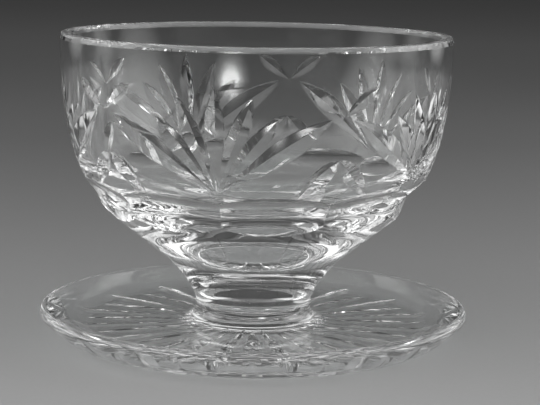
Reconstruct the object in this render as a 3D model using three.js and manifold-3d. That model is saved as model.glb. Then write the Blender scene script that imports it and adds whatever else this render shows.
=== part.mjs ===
// Footed cut-glass sundae dish: a bowl, a short stem and a star-cut foot, fused hot into one dish.
// Millimetres, +Z up. The dish stands on z = 0, its axis is Z, and one fan of the cut pattern faces -Y.

import * as THREE from "three";
import { mergeVertices } from "three/addons/utils/BufferGeometryUtils.js";
import Module from "manifold-3d";

const wasm = await Module();
wasm.setup();

// Whole dish
const overallHeight = 78.8;

// Foot: a flat plate whose top slopes up to a raised, rounded lip
const footRadius = 55.3;
const lipThickness = 2.8;
const lipHeight = 8.75;
const slopeAngle = 22;
const slopeEase = 4;
const baseRadius = 48;
const baseThickness = 4.8;
const neckFilletRun = 5;

// Stem: narrow at the foot, flaring to carry the bowl
const neckRadius = 15;
const neckHeight = 9.5;
const stemLength = 11.8;
const stemTopRadius = 22.6;
const stemFlareHeight = 7.9;

// Bowl: a straight cone above the stem that curves up into a nearly upright wall
const rimRadius = 50;
const rimWall = 2.8;
const rimBevelDrop = 1.4;
const rimBevelRun = 0.4;
const coneAngle = 38.5;
const coneRise = 10.7;
const shoulderReach = 15.4;
const wallReach = 14.6;
const bowlFloorThickness = 4.5;
const innerBendDrop = 28.8;
const innerBendWall = 3.4;
const innerBendReach = 10;
const innerFloorReach = 22;

// Band of hollow ovals cut round the shoulder
const ovalCount = 10;
const ovalWheelRadius = 13;
const ovalDepth = 2.32;
const ovalHeightAboveStem = 16.2;
const ovalOverlap = 1.5;

// Mitre cuts above the band: fans, and between them a vee over an arch
const fanCount = 5;
const mitreHalfAngle = 64;
const mitreClearance = 0.6;
const leafFullness = 1.35;
const fanHeightAboveBand = 6.55;
const fanLeaves = [
  { spread: 0, rise: 25.7, width: 4.8 },
  { spread: 10.4, rise: 23, width: 4.8 },
  { spread: 17.5, rise: 18.3, width: 5 },
  { spread: 32.5, rise: 18, width: 6.2 },
];
const veeLeaf = { spread: 10.5, rise: 6.7, width: 3.2, heightAboveBand: 25.05 };
const archLeaf = { spread: 12.2, rise: 9.7, width: 5, heightAboveBand: 5.05 };

// Star cut into the underside of the foot: long rays that run off its edge, and short leaves between them
const starRays = 16;
const longRay = { start: 6, halfWidthAtBaseEdge: 2.3, halfAngle: 48, overrun: 5 };
const shortRay = { start: 10, end: 45, halfWidth: 1.7, halfAngle: 66 };

// How finely curves are followed
const turnSteps = 60;
const mitreSteps = 6;
const ovalToolSteps = 48;
const outerWallSteps = 11;
const innerUpperSteps = 5;
const innerLowerSteps = 8;
const flareSteps = 8;
const lipSteps = 6;
const slopeEaseSteps = 4;
const filletSteps = 5;
const wallSearchSteps = 40;
const mergeDistance = 1e-5;

// Heights and angles that follow from the sizes above
const stemTopHeight = neckHeight + stemLength;
const bandHeight = stemTopHeight + ovalHeightAboveStem;
const wallTopHeight = overallHeight - rimBevelDrop;
const floorHeight = stemTopHeight + bowlFloorThickness;
const fanPitch = 360 / fanCount;
const starPitch = 360 / starRays;

// Geometry to solid and back, so that cuts can be made
function solidFrom(geometry) {
  const bare = geometry.clone();
  bare.deleteAttribute("normal");
  bare.deleteAttribute("uv");
  const merged = mergeVertices(bare, mergeDistance);
  const corners = merged.index.array;
  const triangles = [];
  for (let i = 0; i < corners.length; i += 3) {
    const [a, b, c] = corners.slice(i, i + 3);
    if (a !== b && b !== c && c !== a) {
      triangles.push(a, b, c);
    }
  }
  const mesh = new wasm.Mesh({
    numProp: 3,
    vertProperties: Float32Array.from(merged.attributes.position.array),
    triVerts: Uint32Array.from(triangles),
  });
  return new wasm.Manifold(mesh);
}

function geometryFrom(solid) {
  const mesh = solid.getMesh();
  const geometry = new THREE.BufferGeometry();
  geometry.setAttribute("position", new THREE.BufferAttribute(mesh.vertProperties, 3));
  geometry.setIndex(new THREE.BufferAttribute(mesh.triVerts, 1));
  geometry.computeVertexNormals();
  return geometry;
}

// A profile in the X (radius) and Y (height) plane, turned round Z with its first point facing -Y
function turned(profile) {
  const geometry = new THREE.LatheGeometry(profile, turnSteps);
  geometry.rotateX(Math.PI / 2);
  return solidFrom(geometry);
}

function point(radius, height) {
  return new THREE.Vector2(radius, height);
}

function cutAll(solid, tools) {
  return tools.reduce((rest, tool) => rest.subtract(solidFrom(tool)), solid);
}

// Outside of the bowl: the cone's top, then one curve that ends upright at the rim
const coneRadians = THREE.MathUtils.degToRad(coneAngle);
const coneTop = point(stemTopRadius + coneRise / Math.tan(coneRadians), stemTopHeight + coneRise);
const coneHeading = point(Math.cos(coneRadians), Math.sin(coneRadians));
const outerWall = new THREE.CubicBezierCurve(
  coneTop,
  coneTop.clone().addScaledVector(coneHeading, shoulderReach),
  point(rimRadius, wallTopHeight - wallReach),
  point(rimRadius, wallTopHeight),
);

// Radius of the outer wall at a height, and the wall's outward direction there
function wallAt(height) {
  let low = 0;
  let high = 1;
  for (let i = 0; i < wallSearchSteps; i += 1) {
    const middle = (low + high) / 2;
    if (outerWall.getPoint(middle).y < height) {
      low = middle;
    } else {
      high = middle;
    }
  }
  const along = outerWall.getTangent(low);
  return { radius: outerWall.getPoint(low).x, outward: point(along.y, -along.x) };
}

// Inside of the bowl: even with the outside as far down as its bend, then round to the floor
function innerWall() {
  const upper = [];
  for (let k = 0; k <= innerUpperSteps; k += 1) {
    const share = k / innerUpperSteps;
    const height = wallTopHeight - innerBendDrop * share;
    const { radius, outward } = wallAt(height);
    const wall = THREE.MathUtils.lerp(rimWall, innerBendWall, share);
    upper.push(point(radius, height).addScaledVector(outward, -wall));
  }
  const bend = upper[innerUpperSteps];
  const heading = bend.clone().sub(upper[innerUpperSteps - 1]).normalize();
  const lower = new THREE.CubicBezierCurve(
    bend,
    bend.clone().addScaledVector(heading, innerBendReach),
    point(innerFloorReach, floorHeight),
    point(0, floorHeight),
  );
  return [...upper, ...lower.getPoints(innerLowerSteps).slice(1)];
}

// A place on the outer wall, with turn in degrees from -Y towards +X
function onWall(turn, height) {
  const radians = THREE.MathUtils.degToRad(turn);
  const { radius, outward } = wallAt(height);
  const side = Math.sin(radians);
  const front = -Math.cos(radians);
  return {
    place: new THREE.Vector3(radius * side, radius * front, height),
    outward: new THREE.Vector3(outward.x * side, outward.x * front, outward.y),
  };
}

// A closed tool with one triangle per section between two pointed ends
function pointedTool(firstEnd, sections, lastEnd) {
  const corners = [firstEnd, ...sections.flat(), lastEnd];
  const faces = [];
  const last = corners.length - 1;
  for (let side = 0; side < 3; side += 1) {
    const next = (side + 1) % 3;
    faces.push(0, 1 + next, 1 + side);
    for (let k = 0; k < sections.length - 1; k += 1) {
      const here = 1 + 3 * k;
      const ahead = here + 3;
      faces.push(here + side, here + next, ahead + next);
      faces.push(here + side, ahead + next, ahead + side);
    }
    faces.push(last - 3 + side, last - 3 + next, last);
  }
  const geometry = new THREE.BufferGeometry().setFromPoints(corners);
  geometry.setIndex(faces);
  return geometry;
}

// One section of a mitre cut: a vee with its valley under the surface and its mouth clear above it
function mitreSection({ place, outward }, heading, halfWidth, halfAngle) {
  const slope = Math.tan(THREE.MathUtils.degToRad(halfAngle));
  const right = heading.clone().cross(outward).normalize();
  const mouth = place.clone().addScaledVector(outward, mitreClearance);
  const reach = halfWidth + mitreClearance * slope;
  return [
    mouth.clone().addScaledVector(right, reach),
    place.clone().addScaledVector(outward, -halfWidth / slope),
    mouth.clone().addScaledVector(right, -reach),
  ];
}

// Share of a leaf's full width at a share of its length: pointed at both ends, fullest past its middle
function leafWidthShare(along) {
  return Math.sin(Math.PI * along ** leafFullness);
}

// A leaf-shaped mitre cut whose valley lies on the wall
function leafTool(from, to, width) {
  const path = [];
  for (let k = 0; k <= mitreSteps; k += 1) {
    const t = k / mitreSteps;
    const turn = THREE.MathUtils.lerp(from.turn, to.turn, t);
    path.push(onWall(turn, THREE.MathUtils.lerp(from.height, to.height, t)));
  }
  const sections = [];
  for (let k = 1; k < mitreSteps; k += 1) {
    const heading = path[k + 1].place.clone().sub(path[k - 1].place).normalize();
    const halfWidth = (width / 2) * leafWidthShare(k / mitreSteps);
    sections.push(mitreSection(path[k], heading, halfWidth, mitreHalfAngle));
  }
  return pointedTool(path[0].place, sections, path[mitreSteps].place);
}

// One wheel-cut oval: a straight round hollow across the wall, cut square to it
function ovalTool(turn) {
  const { radius, outward } = wallAt(bandHeight);
  const offset = ovalWheelRadius - ovalDepth;
  const length = 2 * radius * Math.tan(Math.PI / ovalCount) * ovalOverlap;
  const tool = new THREE.CylinderGeometry(ovalWheelRadius, ovalWheelRadius, length, ovalToolSteps);
  tool.rotateZ(Math.PI / 2);
  tool.translate(0, -(radius + outward.x * offset), bandHeight + outward.y * offset);
  tool.rotateZ(THREE.MathUtils.degToRad(turn));
  return tool;
}

// A place on the foot's underside, straight out towards -Y
function onUnderside(radius) {
  return { place: new THREE.Vector3(0, -radius, 0), outward: new THREE.Vector3(0, 0, -1) };
}

const outFromAxis = new THREE.Vector3(0, -1, 0);

// A long star ray: a mitre that starts as a point near the centre and widens out through the base's edge
function longRayTool(turn) {
  const { start, halfWidthAtBaseEdge, halfAngle, overrun } = longRay;
  const endRadius = baseRadius + overrun;
  const endHalfWidth = halfWidthAtBaseEdge * ((endRadius - start) / (baseRadius - start));
  const tool = pointedTool(
    onUnderside(start).place,
    [mitreSection(onUnderside(endRadius), outFromAxis, endHalfWidth, halfAngle)],
    new THREE.Vector3(0, -endRadius - mitreClearance, -mitreClearance),
  );
  tool.rotateZ(THREE.MathUtils.degToRad(turn));
  return tool;
}

// A short star ray: a shallow leaf, pointed at both ends
function shortRayTool(turn) {
  const { start, end, halfWidth, halfAngle } = shortRay;
  const sections = [];
  for (let k = 1; k < mitreSteps; k += 1) {
    const along = k / mitreSteps;
    const here = onUnderside(THREE.MathUtils.lerp(start, end, along));
    sections.push(mitreSection(here, outFromAxis, halfWidth * leafWidthShare(along), halfAngle));
  }
  const tool = pointedTool(onUnderside(start).place, sections, onUnderside(end).place);
  tool.rotateZ(THREE.MathUtils.degToRad(turn));
  return tool;
}

// Bowl
function makeBowl() {
  const blank = turned([
    point(0, stemTopHeight),
    point(stemTopRadius, stemTopHeight),
    ...outerWall.getPoints(outerWallSteps),
    point(rimRadius - rimBevelRun, overallHeight),
    point(rimRadius - rimWall + rimBevelRun, overallHeight),
    ...innerWall(),
  ]);
  const tools = [];
  for (let k = 0; k < ovalCount; k += 1) {
    tools.push(ovalTool((k + 0.5) * (360 / ovalCount)));
  }
  for (let k = 0; k < fanCount; k += 1) {
    tools.push(...fanTools(k * fanPitch), ...betweenFanTools((k + 0.5) * fanPitch));
  }
  return cutAll(blank, tools);
}

// The leaves of one fan spring from a single point above the band
function fanTools(turn) {
  const foot = { turn, height: bandHeight + fanHeightAboveBand };
  const tools = [];
  for (const { spread, rise, width } of fanLeaves) {
    for (const side of spread === 0 ? [1] : [1, -1]) {
      tools.push(leafTool(foot, { turn: turn + side * spread, height: foot.height + rise }, width));
    }
  }
  return tools;
}

// Between two fans: two leaves spread up as a vee, and below them two lean together as an arch
function betweenFanTools(turn) {
  const tools = [];
  const veeFoot = bandHeight + veeLeaf.heightAboveBand;
  const archFoot = bandHeight + archLeaf.heightAboveBand;
  for (const side of [1, -1]) {
    tools.push(leafTool(
      { turn, height: veeFoot },
      { turn: turn + side * veeLeaf.spread, height: veeFoot + veeLeaf.rise },
      veeLeaf.width,
    ));
    tools.push(leafTool(
      { turn: turn + side * archLeaf.spread, height: archFoot },
      { turn, height: archFoot + archLeaf.rise },
      archLeaf.width,
    ));
  }
  return tools;
}

// Stem
function makeStem() {
  const flare = new THREE.QuadraticBezierCurve(
    point(neckRadius, neckHeight),
    point(neckRadius, stemTopHeight - stemFlareHeight),
    point(stemTopRadius, stemTopHeight),
  );
  return turned([point(0, neckHeight), ...flare.getPoints(flareSteps), point(0, stemTopHeight)]);
}

// Foot
function makeFoot() {
  const lipRadius = lipThickness / 2;
  const lipCentre = point(footRadius - lipRadius, lipHeight - lipRadius);
  const fromBase = lipCentre.clone().sub(point(baseRadius, 0));
  const skirtAngle = Math.atan2(fromBase.y, fromBase.x) - Math.asin(lipRadius / fromBase.length());
  const slopeRadians = THREE.MathUtils.degToRad(slopeAngle);
  const lip = new THREE.EllipseCurve(
    lipCentre.x, lipCentre.y, lipRadius, lipRadius, skirtAngle - Math.PI / 2, slopeRadians + Math.PI / 2,
  );
  const slopeTop = lip.getPoint(1);
  const slopeFoot = point(slopeTop.x - (slopeTop.y - baseThickness) / Math.tan(slopeRadians), baseThickness);
  const slopeHeading = point(Math.cos(slopeRadians), Math.sin(slopeRadians));
  const slopeBend = new THREE.QuadraticBezierCurve(
    slopeFoot.clone().addScaledVector(slopeHeading, slopeEase),
    slopeFoot,
    point(slopeFoot.x - slopeEase, baseThickness),
  );
  const neckFillet = new THREE.QuadraticBezierCurve(
    point(neckRadius + neckFilletRun, baseThickness),
    point(neckRadius, baseThickness),
    point(neckRadius, neckHeight),
  );
  const blank = turned([
    point(0, 0),
    point(baseRadius, 0),
    ...lip.getPoints(lipSteps),
    ...slopeBend.getPoints(slopeEaseSteps),
    ...neckFillet.getPoints(filletSteps),
    point(0, neckHeight),
  ]);
  const tools = [];
  for (let k = 0; k < starRays; k += 1) {
    tools.push(longRayTool(k * starPitch), shortRayTool((k + 0.5) * starPitch));
  }
  return cutAll(blank, tools);
}

// The three pieces, all in clear polished crystal
function glassPiece(name, solid) {
  const crystal = new THREE.MeshStandardMaterial({
    color: 0xe4e9e8,
    roughness: 0.03,
    metalness: 0,
    transparent: true,
    opacity: 0.4,
  });
  const piece = new THREE.Mesh(geometryFrom(solid), crystal);
  piece.name = name;
  return piece;
}

const sundaeDish = new THREE.Group();
sundaeDish.add(
  glassPiece("bowl", makeBowl()),
  glassPiece("stem", makeStem()),
  glassPiece("foot", makeFoot()),
);

export default sundaeDish;
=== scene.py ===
import math

import bpy
import numpy as np
from mathutils import Matrix, Vector


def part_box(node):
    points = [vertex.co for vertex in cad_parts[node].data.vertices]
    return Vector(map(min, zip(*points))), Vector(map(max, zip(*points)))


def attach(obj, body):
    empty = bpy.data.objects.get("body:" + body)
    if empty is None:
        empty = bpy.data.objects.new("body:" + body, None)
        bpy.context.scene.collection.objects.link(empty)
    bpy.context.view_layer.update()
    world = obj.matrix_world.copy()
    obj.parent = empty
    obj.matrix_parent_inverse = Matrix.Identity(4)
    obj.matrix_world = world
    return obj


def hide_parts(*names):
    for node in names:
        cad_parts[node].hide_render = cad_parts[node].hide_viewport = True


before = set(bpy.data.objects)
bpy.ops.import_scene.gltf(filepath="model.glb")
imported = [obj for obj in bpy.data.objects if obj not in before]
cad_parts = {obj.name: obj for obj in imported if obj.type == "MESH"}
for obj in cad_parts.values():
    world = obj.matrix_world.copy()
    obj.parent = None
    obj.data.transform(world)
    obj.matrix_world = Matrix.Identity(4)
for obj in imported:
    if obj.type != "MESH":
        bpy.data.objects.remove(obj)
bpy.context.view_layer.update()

# Sizes in metres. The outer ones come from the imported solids
MM = 0.001
_, bowl_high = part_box("bowl")
_, stem_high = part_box("stem")
_, foot_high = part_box("foot")

RIM_RADIUS = bowl_high.x
RIM_HEIGHT = bowl_high.z
RIM_WALL = 2.8 * MM
RIM_BEVEL_DROP = 1.4 * MM
RIM_BEVEL_RUN = 0.4 * MM
RIM_EASE = 0.25 * MM
STEM_TOP_RADIUS = stem_high.x
STEM_TOP_HEIGHT = stem_high.z
STEM_FLARE_HEIGHT = 7.9 * MM
NECK_RADIUS = 15 * MM
NECK_HEIGHT = foot_high.z
NECK_FILLET_RUN = 5 * MM
FOOT_RADIUS = foot_high.x
FOOT_LIP_THICKNESS = 2.8 * MM
FOOT_LIP_HEIGHT = 8.75 * MM
FOOT_SLOPE_ANGLE = math.radians(22)
FOOT_SLOPE_EASE = 1.5 * MM
BASE_RADIUS = 48 * MM
BASE_EASE = 5 * MM
BASE_THICKNESS = 4.8 * MM

CONE_ANGLE = math.radians(38.5)
CONE_RISE = 10.7 * MM
SHOULDER_REACH = 15.4 * MM
WALL_REACH = 14.6 * MM
BOWL_FLOOR_THICKNESS = 4.5 * MM
INNER_BEND_DROP = 28.8 * MM
INNER_BEND_WALL = 2.9 * MM
INNER_BEND_REACH = 12 * MM
INNER_FLOOR_REACH = 14 * MM

# The oval band round the shoulder
OVAL_COUNT = 10
OVAL_WHEEL_RADIUS = 13 * MM
OVAL_DEPTH = 2.32 * MM
BAND_HEIGHT = STEM_TOP_HEIGHT + 16.2 * MM

# The mitre cuts: spread in degrees, rise and width in metres
FAN_COUNT = 5
FAN_PITCH = 360 / FAN_COUNT
FAN_FOOT_HEIGHT = BAND_HEIGHT + 6.55 * MM
FAN_LEAVES = [
    (0.0, 25.7 * MM, 4.8 * MM),
    (10.4, 23.0 * MM, 4.8 * MM),
    (17.5, 18.3 * MM, 5.0 * MM),
    (32.5, 18.0 * MM, 6.2 * MM),
]
VEE_FOOT_HEIGHT = BAND_HEIGHT + 25.05 * MM
VEE_SPREAD, VEE_RISE, VEE_WIDTH = 10.5, 6.7 * MM, 3.2 * MM
ARCH_FOOT_HEIGHT = BAND_HEIGHT + 5.05 * MM
ARCH_SPREAD, ARCH_RISE, ARCH_WIDTH = 12.2, 9.7 * MM, 5.0 * MM
MITRE_SLOPE = math.tan(math.radians(64))
LIP_SLOPE = math.tan(math.radians(79))
LIP_DEPTH = 0.1 * MM
MITRE_CLEARANCE = 0.6 * MM
LEAF_FULLNESS = 1.35

# The star cut into the underside of the foot: long rays off its edge, and short rays between them
STAR_RAYS = 16
STAR_PITCH = 360 / STAR_RAYS
LONG_RAY_START = 6 * MM
LONG_RAY_HALF_WIDTH = 2.6 * MM
LONG_RAY_SLOPE = math.tan(math.radians(64))
LONG_RAY_OVERRUN = 5 * MM
SHORT_RAY_START = 10 * MM
SHORT_RAY_END = 45 * MM
SHORT_RAY_HALF_WIDTH = 2.2 * MM
SHORT_RAY_SLOPE = math.tan(math.radians(76))

# Fineness of the meshes
TURN_STEPS = 360
CONE_STEPS = 12
WALL_STEPS = 60
WALL_TABLE_STEPS = 400
RIM_STEPS = 6
INNER_UPPER_STEPS = 30
INNER_LOWER_STEPS = 50
FLARE_STEPS = 28
BASE_STEPS = 8
LIP_STEPS = 16
SLOPE_STEPS = 10
FILLET_STEPS = 18
OVAL_STEPS = 200
LEAF_STEPS = 30
LONG_RAY_STEPS = 7
SHARP_ANGLE = math.radians(12)

# Where a piece keeps its finishes; its plain wall is the first, at 0
SEAM, CUT = 1, 2


# Shader sockets as values

class Wire:
    """A socket in a node tree. Sums and products of wires and numbers add Math nodes."""

    def __init__(self, tree, socket=None):
        self.tree = tree
        self.socket = socket

    def add(self, kind, settings=None, inputs=None, output=0):
        node = self.tree.nodes.new(kind)
        for name, value in (settings or {}).items():
            setattr(node, name, value)
        for key, value in (inputs or {}).items():
            if isinstance(value, Wire):
                self.tree.links.new(value.socket, node.inputs[key])
            else:
                node.inputs[key].default_value = value
        return Wire(self.tree, node.outputs[output] if len(node.outputs) else None)

    def math(self, operation, first, second):
        return self.add("ShaderNodeMath", {"operation": operation}, {0: first, 1: second})

    def __add__(self, other):
        return self.math("ADD", self, other)

    def __sub__(self, other):
        return self.math("SUBTRACT", self, other)

    def __rsub__(self, other):
        return self.math("SUBTRACT", other, self)

    def __mul__(self, other):
        return self.math("MULTIPLY", self, other)

    __radd__ = __add__
    __rmul__ = __mul__


def blank_material(name):
    material = bpy.data.materials.new(name)
    material.use_nodes = True
    material.node_tree.nodes.clear()
    return material, Wire(material.node_tree)


# Lead crystal: clear and bright, with the faint unevenness that its making leaves

CRYSTAL_IOR = 1.55
CRYSTAL_TINT = (0.985, 0.99, 0.988, 1)
SHADOW_TINT = (0.9, 0.91, 0.91, 1)


def crystal(name, ripple_size, ripple_height, roughness):
    material, start = blank_material(name)
    place = start.add("ShaderNodeTexCoord", output="Object")
    ripple = start.add("ShaderNodeTexNoise", inputs={
        "Vector": place, "Scale": 1 / ripple_size, "Detail": 1.0, "Roughness": 0.4})
    bloom = start.add("ShaderNodeTexNoise", inputs={
        "Vector": place, "Scale": 3 / ripple_size, "Detail": 3.0})
    uneven = start.add("ShaderNodeBump", inputs={
        "Strength": 1.0, "Distance": ripple_height, "Height": ripple})
    glass = start.add("ShaderNodeBsdfPrincipled", inputs={
        "Base Color": CRYSTAL_TINT,
        "Roughness": bloom * roughness,
        "IOR": CRYSTAL_IOR,
        "Transmission Weight": 1.0,
        "Normal": uneven,
    })
    lit_through = start.add("ShaderNodeBsdfTransparent", inputs={"Color": SHADOW_TINT})
    lamp_ray = start.add("ShaderNodeLightPath", output="Is Shadow Ray")
    both = start.add("ShaderNodeMixShader", inputs={0: lamp_ray, 1: glass, 2: lit_through})
    start.add("ShaderNodeOutputMaterial", inputs={"Surface": both})
    return material


def fused_seam():
    material, start = blank_material("fused_seam")
    clear = start.add("ShaderNodeBsdfTransparent", inputs={"Color": (1, 1, 1, 1)})
    start.add("ShaderNodeOutputMaterial", inputs={"Surface": clear})
    return material


blown_crystal = crystal("blown_crystal", ripple_size=14 * MM, ripple_height=0.012 * MM, roughness=0.012)
cut_crystal = crystal("cut_crystal", ripple_size=5 * MM, ripple_height=0.006 * MM, roughness=0.02)
pressed_crystal = crystal("pressed_crystal", ripple_size=18 * MM, ripple_height=0.015 * MM, roughness=0.012)
seam_glass = fused_seam()


# Profiles, as radius and height

def bezier(points, steps):
    points = np.array(points, float)
    degree = len(points) - 1
    t = np.linspace(0, 1, steps + 1)[:, None]
    return sum(
        math.comb(degree, k) * t**k * (1 - t) ** (degree - k) * point
        for k, point in enumerate(points)
    )


def arc(centre, radius, start, end, steps):
    angles = np.radians(np.linspace(start, end, steps + 1))
    return np.stack([centre[0] + radius * np.cos(angles), centre[1] + radius * np.sin(angles)], 1)


def outline(*stretches):
    """Joins stretches of a profile, dropping points that two of them share."""
    points = np.concatenate([np.atleast_2d(np.array(s, float)) for s in stretches])
    apart = np.linalg.norm(np.diff(points, axis=0), axis=1) > 1e-7
    return points[np.concatenate([[True], apart])]


WALL_TOP = RIM_HEIGHT - RIM_BEVEL_DROP
CONE_TOP = np.array([STEM_TOP_RADIUS + CONE_RISE / math.tan(CONE_ANGLE), STEM_TOP_HEIGHT + CONE_RISE])
OUTER_WALL = [
    CONE_TOP,
    CONE_TOP + SHOULDER_REACH * np.array([math.cos(CONE_ANGLE), math.sin(CONE_ANGLE)]),
    (RIM_RADIUS, WALL_TOP - WALL_REACH),
    (RIM_RADIUS, WALL_TOP),
]
WALL_TABLE = bezier(OUTER_WALL, WALL_TABLE_STEPS)


def wall_at(height):
    """Radius of the bowl's outside at a height, and its outward direction there."""
    radii, heights = WALL_TABLE.T
    radius = np.interp(height, heights, radii)
    step = 0.1 * MM
    slope = (radius - np.interp(height - step, heights, radii)) / step
    outward = np.array([1, -slope]) / math.hypot(1, slope)
    return radius, outward


def inner_wall():
    """The inside of the bowl: even with the outside as far down as its bend, then round to the floor."""
    floor_height = STEM_TOP_HEIGHT + BOWL_FLOOR_THICKNESS
    upper = []
    for share in np.linspace(0, 1, INNER_UPPER_STEPS + 1):
        height = WALL_TOP - INNER_BEND_DROP * share
        radius, outward = wall_at(height)
        upper.append((radius, height) - outward * (RIM_WALL + (INNER_BEND_WALL - RIM_WALL) * share))
    down = (upper[-1] - upper[-2]) / np.linalg.norm(upper[-1] - upper[-2])
    lower = bezier([
        upper[-1],
        upper[-1] + down * INNER_BEND_REACH,
        (INNER_FLOOR_REACH, floor_height),
        (0, floor_height),
    ], INNER_LOWER_STEPS)
    return outline(upper, lower)


def rim():
    """The ground rim: a bevel on each side of a narrow flat, their edges eased by polishing."""
    outer = RIM_RADIUS - RIM_BEVEL_RUN
    inner = RIM_RADIUS - RIM_WALL + RIM_BEVEL_RUN
    bevel = np.array([RIM_BEVEL_RUN, RIM_BEVEL_DROP]) / math.hypot(RIM_BEVEL_RUN, RIM_BEVEL_DROP)
    ease = RIM_EASE * bevel
    outer_edge = bezier([
        (outer + ease[0], RIM_HEIGHT - ease[1]),
        (outer, RIM_HEIGHT),
        (outer - RIM_EASE, RIM_HEIGHT),
    ], RIM_STEPS)
    inner_edge = bezier([
        (inner + RIM_EASE, RIM_HEIGHT),
        (inner, RIM_HEIGHT),
        (inner - ease[0], RIM_HEIGHT - ease[1]),
    ], RIM_STEPS)
    return outline([(RIM_RADIUS, WALL_TOP)], outer_edge, inner_edge, [(RIM_RADIUS - RIM_WALL, WALL_TOP)])


def bowl_profile():
    base_edge = (STEM_TOP_RADIUS, STEM_TOP_HEIGHT)
    return outline(
        [(0, STEM_TOP_HEIGHT), base_edge],
        bezier([base_edge, CONE_TOP], CONE_STEPS),
        bezier(OUTER_WALL, WALL_STEPS),
        rim(),
        inner_wall(),
    )


def stem_profile():
    flare = bezier([
        (NECK_RADIUS, NECK_HEIGHT),
        (NECK_RADIUS, STEM_TOP_HEIGHT - STEM_FLARE_HEIGHT),
        (STEM_TOP_RADIUS, STEM_TOP_HEIGHT),
    ], FLARE_STEPS)
    return outline([(0, NECK_HEIGHT)], flare, [(0, STEM_TOP_HEIGHT)])


def foot_profile():
    lip_radius = FOOT_LIP_THICKNESS / 2
    lip_centre = np.array([FOOT_RADIUS - lip_radius, FOOT_LIP_HEIGHT - lip_radius])
    across = lip_centre - (BASE_RADIUS, 0)
    skirt_angle = math.atan2(across[1], across[0]) - math.asin(lip_radius / np.linalg.norm(across))
    lip_end = arc(lip_centre, lip_radius, math.degrees(skirt_angle) - 90,
                  math.degrees(FOOT_SLOPE_ANGLE) + 90, LIP_STEPS)
    up_slope = np.array([math.cos(FOOT_SLOPE_ANGLE), math.sin(FOOT_SLOPE_ANGLE)])
    slope_foot = lip_end[-1] - up_slope * (lip_end[-1][1] - BASE_THICKNESS) / up_slope[1]
    hollow = bezier([
        slope_foot + up_slope * FOOT_SLOPE_EASE,
        slope_foot,
        slope_foot - np.array([FOOT_SLOPE_EASE, 0]),
    ], SLOPE_STEPS)
    fillet_start = (NECK_RADIUS + NECK_FILLET_RUN, BASE_THICKNESS)
    fillet = bezier([
        fillet_start,
        (NECK_RADIUS, BASE_THICKNESS),
        (NECK_RADIUS, NECK_HEIGHT),
    ], FILLET_STEPS)
    base_edge = np.array([BASE_RADIUS, 0])
    skirt = np.array([math.cos(skirt_angle), math.sin(skirt_angle)])
    base = bezier([base_edge - (BASE_EASE, 0), base_edge, base_edge + skirt * BASE_EASE], BASE_STEPS)
    return outline(
        [(0, 0)],
        base,
        lip_end,
        hollow,
        fillet,
        [(0, NECK_HEIGHT)],
    )


# Turned blanks and cutting

def mesh_object(name, points, faces):
    mesh = bpy.data.meshes.new(name)
    mesh.from_pydata([tuple(p) for p in points], [], faces)
    mesh.update()
    piece = bpy.data.objects.new(name, mesh)
    bpy.context.scene.collection.objects.link(piece)
    return piece


def turned(name, profile):
    """A closed solid from a profile that starts and ends on the axis, first point facing -Y."""
    turns = np.arange(TURN_STEPS) * (2 * math.pi / TURN_STEPS)
    ring = np.stack([np.sin(turns), -np.cos(turns)], 1)
    body = profile[1:-1]
    points = [(0, 0, profile[0][1]), (0, 0, profile[-1][1])]
    for radius, height in body:
        points.extend((radius * x, radius * y, height) for x, y in ring)
    faces = []
    last = 2 + (len(body) - 1) * TURN_STEPS
    for i in range(TURN_STEPS):
        j = (i + 1) % TURN_STEPS
        faces.append((0, 2 + j, 2 + i))
        faces.append((1, last + i, last + j))
        for row in range(len(body) - 1):
            low = 2 + row * TURN_STEPS
            high = low + TURN_STEPS
            faces.append((low + i, low + j, high + j, high + i))
    return mesh_object(name, points, faces)


def on_wall(turn, height):
    radius, outward = wall_at(height)
    side, front = math.sin(math.radians(turn)), -math.cos(math.radians(turn))
    place = np.array([radius * side, radius * front, height])
    return place, np.array([outward[0] * side, outward[0] * front, outward[1]])


def mitre_section(place, outward, heading, half_width):
    """One section of a mitre wheel's path: a deep vee whose lips are eased by polishing."""
    right = np.cross(heading, outward)
    right /= np.linalg.norm(right)
    depth = half_width / MITRE_SLOPE
    lip = min(LIP_DEPTH, 0.4 * depth)
    lip_half = (depth - lip) * MITRE_SLOPE
    mouth_half = lip_half + (lip + MITRE_CLEARANCE) * LIP_SLOPE
    corners = [(mouth_half, MITRE_CLEARANCE), (lip_half, -lip), (0, -depth),
               (-lip_half, -lip), (-mouth_half, MITRE_CLEARANCE)]
    return [place + right * across + outward * up for across, up in corners]


def loft(first_end, sections, last_end):
    """Points and faces of a closed tool between two pointed ends."""
    points = [first_end, *[p for section in sections for p in section], last_end]
    sides = len(sections[0])
    last = len(points) - 1
    faces = []
    for side in range(sides):
        ahead = (side + 1) % sides
        faces.append((0, 1 + ahead, 1 + side))
        for k in range(len(sections) - 1):
            here = 1 + sides * k
            beyond = here + sides
            faces.append((here + side, here + ahead, beyond + ahead, beyond + side))
        faces.append((last - sides + side, last - sides + ahead, last))
    return points, faces


def leaf_tool(from_turn, from_height, to_turn, to_height, width):
    shares = np.linspace(0, 1, LEAF_STEPS + 1)
    path = [
        on_wall(from_turn + (to_turn - from_turn) * t, from_height + (to_height - from_height) * t)
        for t in shares
    ]
    sections = []
    for k in range(1, LEAF_STEPS):
        heading = path[k + 1][0] - path[k - 1][0]
        heading /= np.linalg.norm(heading)
        half_width = width / 2 * math.sin(math.pi * shares[k] ** LEAF_FULLNESS)
        sections.append(mitre_section(*path[k], heading, half_width))
    return loft(path[0][0], sections, path[-1][0])


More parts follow.
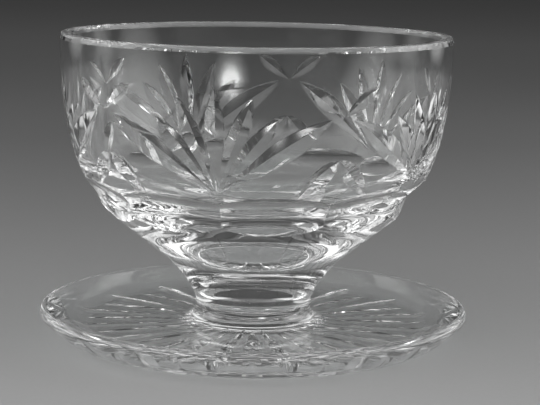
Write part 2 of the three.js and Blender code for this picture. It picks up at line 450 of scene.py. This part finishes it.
def oval_tool(turn):
    """A wheel's round edge laid across the wall, as a long cylinder."""
    radius, outward = wall_at(BAND_HEIGHT)
    offset = OVAL_WHEEL_RADIUS - OVAL_DEPTH
    centre = np.array([0, -(radius + outward[0] * offset), BAND_HEIGHT + outward[1] * offset])
    half_length = 1.5 * radius * math.tan(math.pi / OVAL_COUNT)
    spin = Matrix.Rotation(math.radians(turn), 3, "Z")
    points, faces = [], []
    for end in (-half_length, half_length):
        for k in range(OVAL_STEPS):
            angle = 2 * math.pi * k / OVAL_STEPS
            rim = np.array([end, math.sin(angle), math.cos(angle)])
            rim[1:] *= OVAL_WHEEL_RADIUS
            points.append(spin @ Vector(centre + rim))
    for k in range(OVAL_STEPS):
        j = (k + 1) % OVAL_STEPS
        faces.append((k, OVAL_STEPS + k, OVAL_STEPS + j, j))
    faces.append(tuple(range(OVAL_STEPS)))
    faces.append(tuple(range(2 * OVAL_STEPS - 1, OVAL_STEPS - 1, -1)))
    return points, faces


def underside(turn):
    """Directions at the foot's underside: outward from the axis, and down."""
    return np.array([math.sin(math.radians(turn)), -math.cos(math.radians(turn)), 0]), np.array([0, 0, -1.0])


def star_section(turn, radius, half_width, slope):
    """One section of a plain vee across the foot's underside."""
    outward, down = underside(turn)
    right = np.cross(outward, down)
    mouth_half = half_width + MITRE_CLEARANCE * slope
    corners = [(mouth_half, MITRE_CLEARANCE), (0, -half_width / slope), (-mouth_half, MITRE_CLEARANCE)]
    return [outward * radius + right * across + down * below for across, below in corners]


def long_ray_tool(turn):
    """A mitre cut that widens outward and runs off the edge of the base."""
    outward, down = underside(turn)
    end_radius = BASE_RADIUS + LONG_RAY_OVERRUN
    widening = LONG_RAY_HALF_WIDTH / (BASE_RADIUS - LONG_RAY_START)
    sections = [
        star_section(turn, radius, widening * (radius - LONG_RAY_START), LONG_RAY_SLOPE)
        for radius in np.linspace(LONG_RAY_START, end_radius, LONG_RAY_STEPS + 1)[1:]
    ]
    last_end = outward * (end_radius + MITRE_CLEARANCE) + down * MITRE_CLEARANCE
    return loft(outward * LONG_RAY_START, sections, last_end)


def short_ray_tool(turn):
    """A leaf-shaped mitre cut, pointed at both ends."""
    outward, _ = underside(turn)
    sections = []
    for share in np.linspace(0, 1, LEAF_STEPS + 1)[1:-1]:
        radius = SHORT_RAY_START + (SHORT_RAY_END - SHORT_RAY_START) * share
        half_width = SHORT_RAY_HALF_WIDTH * math.sin(math.pi * share ** LEAF_FULLNESS)
        sections.append(star_section(turn, radius, half_width, SHORT_RAY_SLOPE))
    return loft(outward * SHORT_RAY_START, sections, outward * SHORT_RAY_END)


def cut(piece, tool_sets):
    """Cuts each set of tools out of the piece. The tools of one set stand clear of each other."""
    cutters = []
    for tools in tool_sets:
        points, faces = [], []
        for tool_points, tool_faces in tools:
            first = len(points)
            points.extend(tool_points)
            faces.extend(tuple(first + corner for corner in face) for face in tool_faces)
        cutter = mesh_object("cutter", points, faces)
        cutter.data.polygons.foreach_set("material_index", [CUT] * len(faces))
        cutting = piece.modifiers.new("cut", "BOOLEAN")
        cutting.operation = "DIFFERENCE"
        cutting.solver = "MANIFOLD"
        cutting.object = cutter
        cutters.append(cutter)
    finished = piece.evaluated_get(bpy.context.evaluated_depsgraph_get())
    blank = piece.data
    piece.data = bpy.data.meshes.new_from_object(finished)
    piece.modifiers.clear()
    bpy.data.meshes.remove(blank)
    for cutter in cutters:
        bpy.data.meshes.remove(cutter.data)


def finish_piece(piece, name, wall_finish, seam_heights):
    """Gives a piece its finishes, smooth faces between its real edges, and its place in the frame."""
    mesh = piece.data
    mesh.name = name
    mesh.materials.clear()
    for finish in (wall_finish, seam_glass, cut_crystal):
        mesh.materials.append(finish)
    for face in mesh.polygons:
        face.use_smooth = True
        heights = [mesh.vertices[v].co.z for v in face.vertices]
        for seam in seam_heights:
            if max(abs(h - seam) for h in heights) < 1e-6:
                face.material_index = SEAM
    mesh.set_sharp_from_angle(angle=SHARP_ANGLE)
    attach(piece, "root")
    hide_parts(name)


# Bowl

def fan_leaves():
    """The same leaf of every fan is one set, because the leaves of one fan cross at its foot."""
    sets = []
    for spread, rise, width in FAN_LEAVES:
        for side in ([1] if spread == 0 else [1, -1]):
            sets.append([
                leaf_tool(k * FAN_PITCH, FAN_FOOT_HEIGHT,
                          k * FAN_PITCH + side * spread, FAN_FOOT_HEIGHT + rise, width)
                for k in range(FAN_COUNT)
            ])
    return sets


def vees_and_arches():
    sets = []
    middles = [(k + 0.5) * FAN_PITCH for k in range(FAN_COUNT)]
    for side in (1, -1):
        sets.append([
            leaf_tool(turn, VEE_FOOT_HEIGHT,
                      turn + side * VEE_SPREAD, VEE_FOOT_HEIGHT + VEE_RISE, VEE_WIDTH)
            for turn in middles
        ])
        sets.append([
            leaf_tool(turn + side * ARCH_SPREAD, ARCH_FOOT_HEIGHT,
                      turn, ARCH_FOOT_HEIGHT + ARCH_RISE, ARCH_WIDTH)
            for turn in middles
        ])
    return sets


def ovals():
    turns = [(k + 0.5) * 360 / OVAL_COUNT for k in range(OVAL_COUNT)]
    return [[oval_tool(turn) for turn in turns[first::2]] for first in (0, 1)]


bowl = turned("glass_bowl", bowl_profile())
cut(bowl, ovals() + fan_leaves() + vees_and_arches())
finish_piece(bowl, "bowl", blown_crystal, [STEM_TOP_HEIGHT])

# Stem

stem = turned("glass_stem", stem_profile())
finish_piece(stem, "stem", blown_crystal, [STEM_TOP_HEIGHT, NECK_HEIGHT])

# Foot

foot = turned("glass_foot", foot_profile())
cut(foot, [[long_ray_tool(k * STAR_PITCH)] for k in range(STAR_RAYS)]
    + [[short_ray_tool((k + 0.5) * STAR_PITCH)] for k in range(STAR_RAYS)])
finish_piece(foot, "foot", pressed_crystal, [NECK_HEIGHT])

# Camera at the photograph's viewing angle

VIEW_TURN = math.radians(10.8)
PHOTO_WIDTH_PX = 540
FOCAL_LENGTH_PX = 1778.45
EYE = Vector((3.98, -453.96, 108.88)) * MM
TARGET = Vector((3.98, 0, 35.19)) * MM
CAMERA_ROLL = math.radians(0.949)


def photo_camera():
    data = bpy.data.cameras.new("photo_camera")
    data.sensor_fit = "HORIZONTAL"
    data.sensor_width = 36
    data.lens = data.sensor_width * FOCAL_LENGTH_PX / PHOTO_WIDTH_PX
    camera = bpy.data.objects.new("photo_camera", data)
    bpy.context.scene.collection.objects.link(camera)
    turn = Matrix.Rotation(VIEW_TURN, 4, "Z")
    look = (TARGET - EYE).to_track_quat("-Z", "Y").to_matrix().to_4x4()
    roll = Matrix.Rotation(CAMERA_ROLL, 4, "Z")
    camera.matrix_world = turn @ Matrix.Translation(EYE) @ look @ roll
    bpy.context.scene.camera = camera


photo_camera()

# Floor with painted light: a painted pool of light round the dish that falls off behind it, a painted
# lightening far behind, and painted shade in front of it

FLOOR_SIZE = 8.0
FLOOR_GAP = 0.05 * MM
# Painted light in the floor's colour: a middle tone, a painted pool of light round the dish and how fast it
# falls off, a painted lightening far behind, and painted shade in front of the dish
FLOOR_MIDDLE = 0.225
FLOOR_LIGHT_POOL = 0.16
FLOOR_FALL = 5.5
FAR_START, FAR_END, FAR_PAINTED_LIGHT = 0.4, 1.1, 0.25
FRONT_EDGE = -0.09
FRONT_SHADE_FALL = 12.0
GRAIN_SCALE = 900.0
GRAIN_DEPTH = 0.06


def floor_with_painted_light():
    material, start = blank_material("floor_with_painted_light")
    place = start.add("ShaderNodeTexCoord", output="Object")
    away = Vector((-math.sin(VIEW_TURN), math.cos(VIEW_TURN), 0))
    depth = start.add("ShaderNodeVectorMath", {"operation": "DOT_PRODUCT"},
                      {0: place, 1: away}, output="Value")
    # The colour carries painted light: a painted pool of light round the dish, painted shade in front of it
    # and a painted lightening far behind it; only the grain is the floor's own
    behind = start.math("MAXIMUM", depth, FRONT_EDGE)
    in_front = start.math("MAXIMUM", FRONT_EDGE - depth, 0)
    far = start.math("MAXIMUM", start.math("MINIMUM", depth, FAR_END) - FAR_START, 0)
    lit = FLOOR_MIDDLE + FLOOR_LIGHT_POOL * start.math("POWER", math.e, behind * -FLOOR_FALL) + far * FAR_PAINTED_LIGHT
    shade = lit * start.math("POWER", math.e, in_front * -FRONT_SHADE_FALL)
    tooth = start.add("ShaderNodeTexNoise", inputs={"Vector": place, "Scale": GRAIN_SCALE, "Detail": 2.0})
    grain = shade * (1 - GRAIN_DEPTH / 2 + tooth * GRAIN_DEPTH)
    paint = start.add("ShaderNodeCombineColor", inputs={0: grain, 1: grain, 2: grain})
    paper = start.add("ShaderNodeBsdfPrincipled", inputs={
        "Base Color": paint, "Roughness": 0.9, "Specular IOR Level": 0.2})
    start.add("ShaderNodeOutputMaterial", inputs={"Surface": paper})
    return material


def studio_floor():
    half = FLOOR_SIZE / 2
    corners = [(-half, -half, -FLOOR_GAP), (half, -half, -FLOOR_GAP),
               (half, half, -FLOOR_GAP), (-half, half, -FLOOR_GAP)]
    floor = mesh_object("studio_floor", corners, [(0, 1, 2, 3)])
    floor.data.materials.append(floor_with_painted_light())


studio_floor()

# Soft studio light: boxes that fade towards their edges

LAMP_AIM = Vector((0, 0, 40 * MM))


def feather(lamp, core, flatness):
    """Fades a lamp to nothing at its edges, with a brighter core as its tube shows through."""
    lamp.use_nodes = True
    lamp.node_tree.nodes.clear()
    start = Wire(lamp.node_tree)
    across = start.add("ShaderNodeNewGeometry", output="Parametric")
    split = start.add("ShaderNodeSeparateXYZ", inputs={0: across}).socket.node
    off = [Wire(lamp.node_tree, split.outputs[axis]) * 2 - 1 for axis in ("X", "Y")]
    fade = start.math("MAXIMUM", 1 - off[0] * off[0] - off[1] * off[1], 0)
    diffuser = start.math("MINIMUM", fade * flatness, 1)
    tube = start.math("POWER", fade, 6)
    glow = start.add("ShaderNodeEmission", inputs={
        "Color": (1, 1, 1, 1), "Strength": diffuser + tube * core})
    start.add("ShaderNodeOutputLight", inputs={"Surface": glow})


def soft_box(name, azimuth, elevation, distance, width, height, radiance, core=0.0, flatness=1.0):
    """A box round the dish: azimuth from the camera towards its right, radiance at its middle."""
    data = bpy.data.lights.new(name, "AREA")
    data.shape = "RECTANGLE"
    data.size = width
    data.size_y = height
    data.energy = radiance * math.pi * width * height
    feather(data, core, flatness)
    lamp = bpy.data.objects.new(name, data)
    bpy.context.scene.collection.objects.link(lamp)
    turn = VIEW_TURN + math.radians(azimuth)
    rise = math.radians(elevation)
    side = Vector((math.sin(turn) * math.cos(rise), -math.cos(turn) * math.cos(rise), math.sin(rise)))
    aim = (-side).to_track_quat("-Z", "Y")
    lamp.matrix_world = Matrix.Translation(LAMP_AIM + side * distance) @ aim.to_matrix().to_4x4()
    lamp.visible_camera = False


soft_box("left_box", azimuth=-88, elevation=18.0, distance=0.57, width=0.70, height=0.44,
         radiance=1.45, core=1.2, flatness=1.6)
soft_box("right_box", azimuth=88, elevation=18.0, distance=0.57, width=0.70, height=0.44,
         radiance=1.65, core=1.2, flatness=1.6)
soft_box("left_back_box", azimuth=-125, elevation=14.3, distance=0.6, width=0.46, height=0.38,
         radiance=0.6, flatness=3.0)
soft_box("right_back_box", azimuth=125, elevation=14.3, distance=0.6, width=0.46, height=0.38,
         radiance=0.9, flatness=3.0)
soft_box("left_high_box", azimuth=-50, elevation=45, distance=1.2, width=1.2, height=1.0,
         radiance=1.5)
soft_box("right_high_box", azimuth=50, elevation=45, distance=1.2, width=1.2, height=1.0,
         radiance=1.5)
soft_box("front_high_box", azimuth=0, elevation=50, distance=1.3, width=1.6, height=1.3,
         radiance=1.5)
soft_box("front_lamp", azimuth=18.2, elevation=11.0, distance=0.84, width=0.41, height=0.28,
         radiance=18.0, core=1.0, flatness=0.1)

ROOM_SHADE = 0.06


def dim_room():
    world = bpy.data.worlds.new("dim_room")
    world.use_nodes = True
    world.node_tree.nodes.clear()
    start = Wire(world.node_tree)
    air = start.add("ShaderNodeBackground", inputs={"Color": (1, 1, 1, 1), "Strength": ROOM_SHADE})
    start.add("ShaderNodeOutputWorld", inputs={"Surface": air})
    bpy.context.scene.world = world


dim_room()

# Cut glass needs long light paths
scene = bpy.context.scene
scene.cycles.max_bounces = 32
scene.cycles.transmission_bounces = 32
scene.cycles.glossy_bounces = 16
scene.cycles.transparent_max_bounces = 32
scene.view_settings.view_transform = "Standard"
